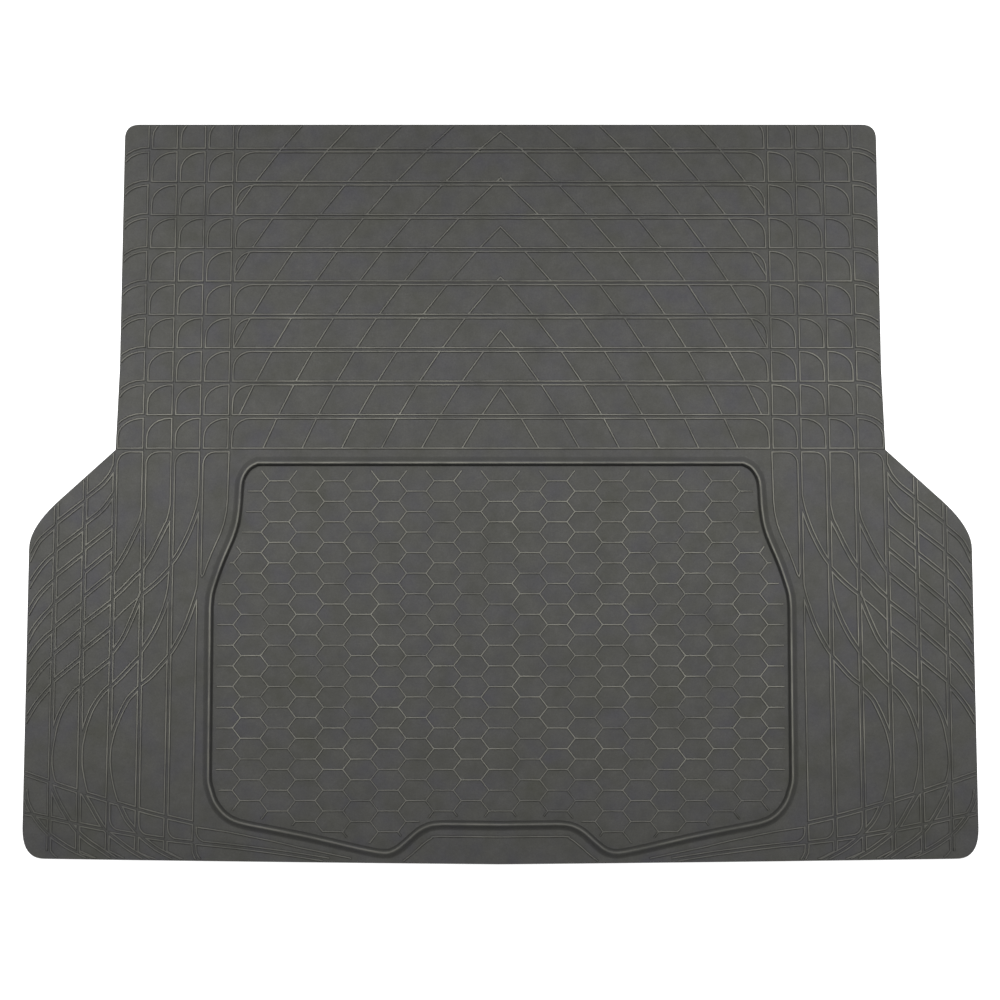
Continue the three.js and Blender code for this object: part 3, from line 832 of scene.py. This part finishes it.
def liner_mesh():
    """One mesh of the sheet, the lip and all ribs; only the sheet is shaded flat."""
    outline = mat_outline()
    border = offset_path(outline, EDGE_MARGIN)
    lip = lip_path()
    field = field_lines()
    wings = wing_lines()
    comb = comb_lines(offset_path(lip, COMB_MARGIN))
    ribs = [piece for line in field + wings for piece in clipped(line, border)]
    # The band's rings cross the middle and are whole; the other lines are the left half's
    centred = [line for line in ribs if min(x for x, _ in line) * max(x for x, _ in line) < -1]
    halves = [line for line in ribs if line not in centred]
    skins = [
        sheet_skin(outline),
        swept_skin(lip, LIP_SECTION),
        rib_skin(centred + halves + [mirrored(line) for line in halves], RIB_SECTION, RIB_HEIGHT),
        rib_skin(comb + [mirrored(line) for line in comb], FINE_SECTION, FINE_HEIGHT),
    ]
    verts = []
    faces = []
    for skin_verts, skin_faces in skins:
        base = len(verts)
        verts += skin_verts
        faces += [tuple(base + i for i in face) for face in skin_faces]
    mesh = bpy.data.meshes.new("boot_liner_fine")
    mesh.from_pydata([(x * MM, y * MM, z * MM) for x, y, z, _ in verts], [], faces)
    # Wear and shade per vertex: painted shade and dirt in the hollows below 0, rubbed crests above 0
    wear_and_shade = mesh.attributes.new("wear_and_shade", "FLOAT", "POINT")
    wear_and_shade.data.foreach_set("value", [vert[3] for vert in verts])
    mesh.update()
    sheet_faces = len(skins[0][1])
    for i, polygon in enumerate(mesh.polygons):
        polygon.use_smooth = i >= sheet_faces
    return mesh


# Materials

def new_material(name):
    material = bpy.data.materials.new(name)
    material.use_nodes = True
    tree = material.node_tree
    return material, tree, tree.nodes["Principled BSDF"]


class Nodes:
    """Short ways to add and link the nodes of one material."""

    def __init__(self, tree):
        self.tree = tree

    def feed(self, socket, value):
        if isinstance(value, bpy.types.NodeSocket):
            self.tree.links.new(value, socket)
        else:
            socket.default_value = value

    def noise(self, place, scale, detail, rough):
        node = self.tree.nodes.new("ShaderNodeTexNoise")
        self.feed(node.inputs["Vector"], place)
        node.inputs["Scale"].default_value = scale
        node.inputs["Detail"].default_value = detail
        node.inputs["Roughness"].default_value = rough
        return node.outputs["Fac"]

    def span(self, value, low, high, to_low, to_high):
        node = self.tree.nodes.new("ShaderNodeMapRange")
        node.inputs["From Min"].default_value = low
        node.inputs["From Max"].default_value = high
        node.inputs["To Min"].default_value = to_low
        node.inputs["To Max"].default_value = to_high
        self.feed(node.inputs["Value"], value)
        return node.outputs["Result"]

    def mix(self, share, first, second):
        node = self.tree.nodes.new("ShaderNodeMix")
        node.data_type = "RGBA"
        self.feed(node.inputs["Factor"], share)
        self.feed(node.inputs["A"], first)
        self.feed(node.inputs["B"], second)
        return node.outputs["Result"]

    def math(self, kind, first, second):
        node = self.tree.nodes.new("ShaderNodeMath")
        node.operation = kind
        self.feed(node.inputs[0], first)
        self.feed(node.inputs[1], second)
        return node.outputs["Value"]


def mottled_rubber(nodes, place, grain):
    colour = RUBBER
    for layer, scale, detail, rough, begin, full, share in MOTTLING:
        cloud = nodes.noise(place, scale, detail, rough)
        colour = nodes.mix(nodes.span(cloud, begin, full, 0, share), colour, layer)
    return nodes.mix(nodes.span(grain, *GRAIN_DARK), colour, RUBBER_DARK)


def rubbed_share(nodes, place, wear_and_shade):
    """How pale the crests are: patchy, and less so at the sides, the sill and the seats' end."""
    spread = nodes.tree.nodes.new("ShaderNodeSeparateXYZ")
    nodes.feed(spread.inputs["Vector"], place)
    across = nodes.math("ABSOLUTE", spread.outputs["X"], 0)
    patches = nodes.span(nodes.noise(place, *RUB_NOISE), *RUB_PATCHES)
    sides = nodes.span(across, *RUB_SIDES)
    sill = nodes.span(spread.outputs["Y"], *RUB_SILL)
    front = nodes.span(spread.outputs["Y"], *RUB_FRONT)
    ends = nodes.math("MULTIPLY", sill, front)
    rubbed = nodes.math("MULTIPLY", nodes.span(wear_and_shade, *RUB_WEAR), patches)
    return nodes.math("MULTIPLY", rubbed, nodes.math("MULTIPLY", sides, ends))


def rubber_material():
    material, tree, shader = new_material("rubber")
    nodes = Nodes(tree)
    place = tree.nodes.new("ShaderNodeTexCoord").outputs["Object"]
    attribute = tree.nodes.new("ShaderNodeAttribute")
    attribute.attribute_name = "wear_and_shade"
    wear_and_shade = attribute.outputs["Fac"]
    grain = nodes.noise(place, *GRAIN_NOISE)

    colour = mottled_rubber(nodes, place, grain)
    colour = nodes.mix(rubbed_share(nodes, place, wear_and_shade), colour, RIB_PALE)
    # Painted shade and dirt in the hollows, where the wear and shade value is negative
    colour = nodes.mix(nodes.span(wear_and_shade, *HOLLOW_SHADE_SHARE), colour, HOLLOW_SHADE_AND_DIRT)
    nodes.feed(shader.inputs["Base Color"], colour)
    nodes.feed(shader.inputs["Roughness"], nodes.span(grain, *GRAIN_ROUGHNESS))
    shader.inputs["Specular IOR Level"].default_value = SPECULAR

    bump = tree.nodes.new("ShaderNodeBump")
    bump.inputs["Strength"].default_value = GRAIN_BUMP
    bump.inputs["Distance"].default_value = GRAIN_DEPTH
    nodes.feed(bump.inputs["Height"], grain)
    nodes.feed(shader.inputs["Normal"], bump.outputs["Normal"])
    return material


def seen_directly(tree):
    """1 for the rays that show a surface or the world, 0 for those that light the liner."""
    nodes = Nodes(tree)
    rays = tree.nodes.new("ShaderNodeLightPath").outputs
    seen = nodes.math("MAXIMUM", rays["Is Camera Ray"], rays["Is Glossy Ray"])
    return nodes.math("MAXIMUM", seen, rays["Is Transmission Ray"])


def floor_material():
    """Pale floor that looks white and still takes the liner's shadow."""
    material, tree, shader = new_material("floor")
    shader.inputs["Base Color"].default_value = FLOOR_GREY
    shader.inputs["Roughness"].default_value = FLOOR_ROUGHNESS
    shader.inputs["Emission Color"].default_value = WHITE
    nodes = Nodes(tree)
    glow = nodes.span(seen_directly(tree), 0, 1, 0, FLOOR_GLOW)
    nodes.feed(shader.inputs["Emission Strength"], glow)
    return material


# Scene

def add_liner():
    piece = bpy.data.objects.new("boot_liner_fine", liner_mesh())
    bpy.context.collection.objects.link(piece)
    piece.data.materials.append(rubber_material())
    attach(piece, "root")
    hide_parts(NODE)


def add_floor():
    mesh = bpy.data.meshes.new("floor")
    corners = [(x * FLOOR_HALF, y * FLOOR_HALF, 0) for x, y in ((-1, -1), (1, -1), (1, 1), (-1, 1))]
    mesh.from_pydata(corners, [], [(0, 1, 2, 3)])
    floor = bpy.data.objects.new("floor", mesh)
    bpy.context.collection.objects.link(floor)
    floor.location.z = CAD_BOX[0][2] - FLOOR_GAP
    mesh.materials.append(floor_material())


def add_lamp(side):
    data = bpy.data.lights.new("lamp", "AREA")
    data.shape = "DISK"
    data.size = LAMP_SIZE
    data.spread = math.radians(LAMP_SPREAD)
    data.energy = LAMP_POWER
    lamp = bpy.data.objects.new("lamp", data)
    bpy.context.collection.objects.link(lamp)
    place = Vector((side * LAMP_PLACE[0], LAMP_PLACE[1], LAMP_PLACE[2]))
    target = Vector((side * LAMP_AIM[0], LAMP_AIM[1], LAMP_AIM[2]))
    lamp.location = place
    lamp.rotation_euler = (target - place).to_track_quat("-Z", "Y").to_euler()


def add_camera():
    data = bpy.data.cameras.new("camera")
    data.lens = CAMERA_LENS
    data.sensor_width = CAMERA_SENSOR
    camera = bpy.data.objects.new("camera", data)
    bpy.context.collection.objects.link(camera)
    camera.location = CAMERA_PLACE
    camera.rotation_euler = (math.radians(CAMERA_TILT), 0, 0)
    bpy.context.scene.camera = camera


def add_world():
    world = bpy.data.worlds.new("world")
    world.use_nodes = True
    background = world.node_tree.nodes["Background"]
    background.inputs["Color"].default_value = WHITE
    nodes = Nodes(world.node_tree)
    strength = nodes.span(seen_directly(world.node_tree), 0, 1, WORLD_LIGHT, 1)
    nodes.feed(background.inputs["Strength"], strength)
    bpy.context.scene.world = world


add_liner()
add_floor()
add_world()
add_lamp(-1)
add_lamp(1)
add_camera()
bpy.context.scene.view_settings.view_transform = "Standard"
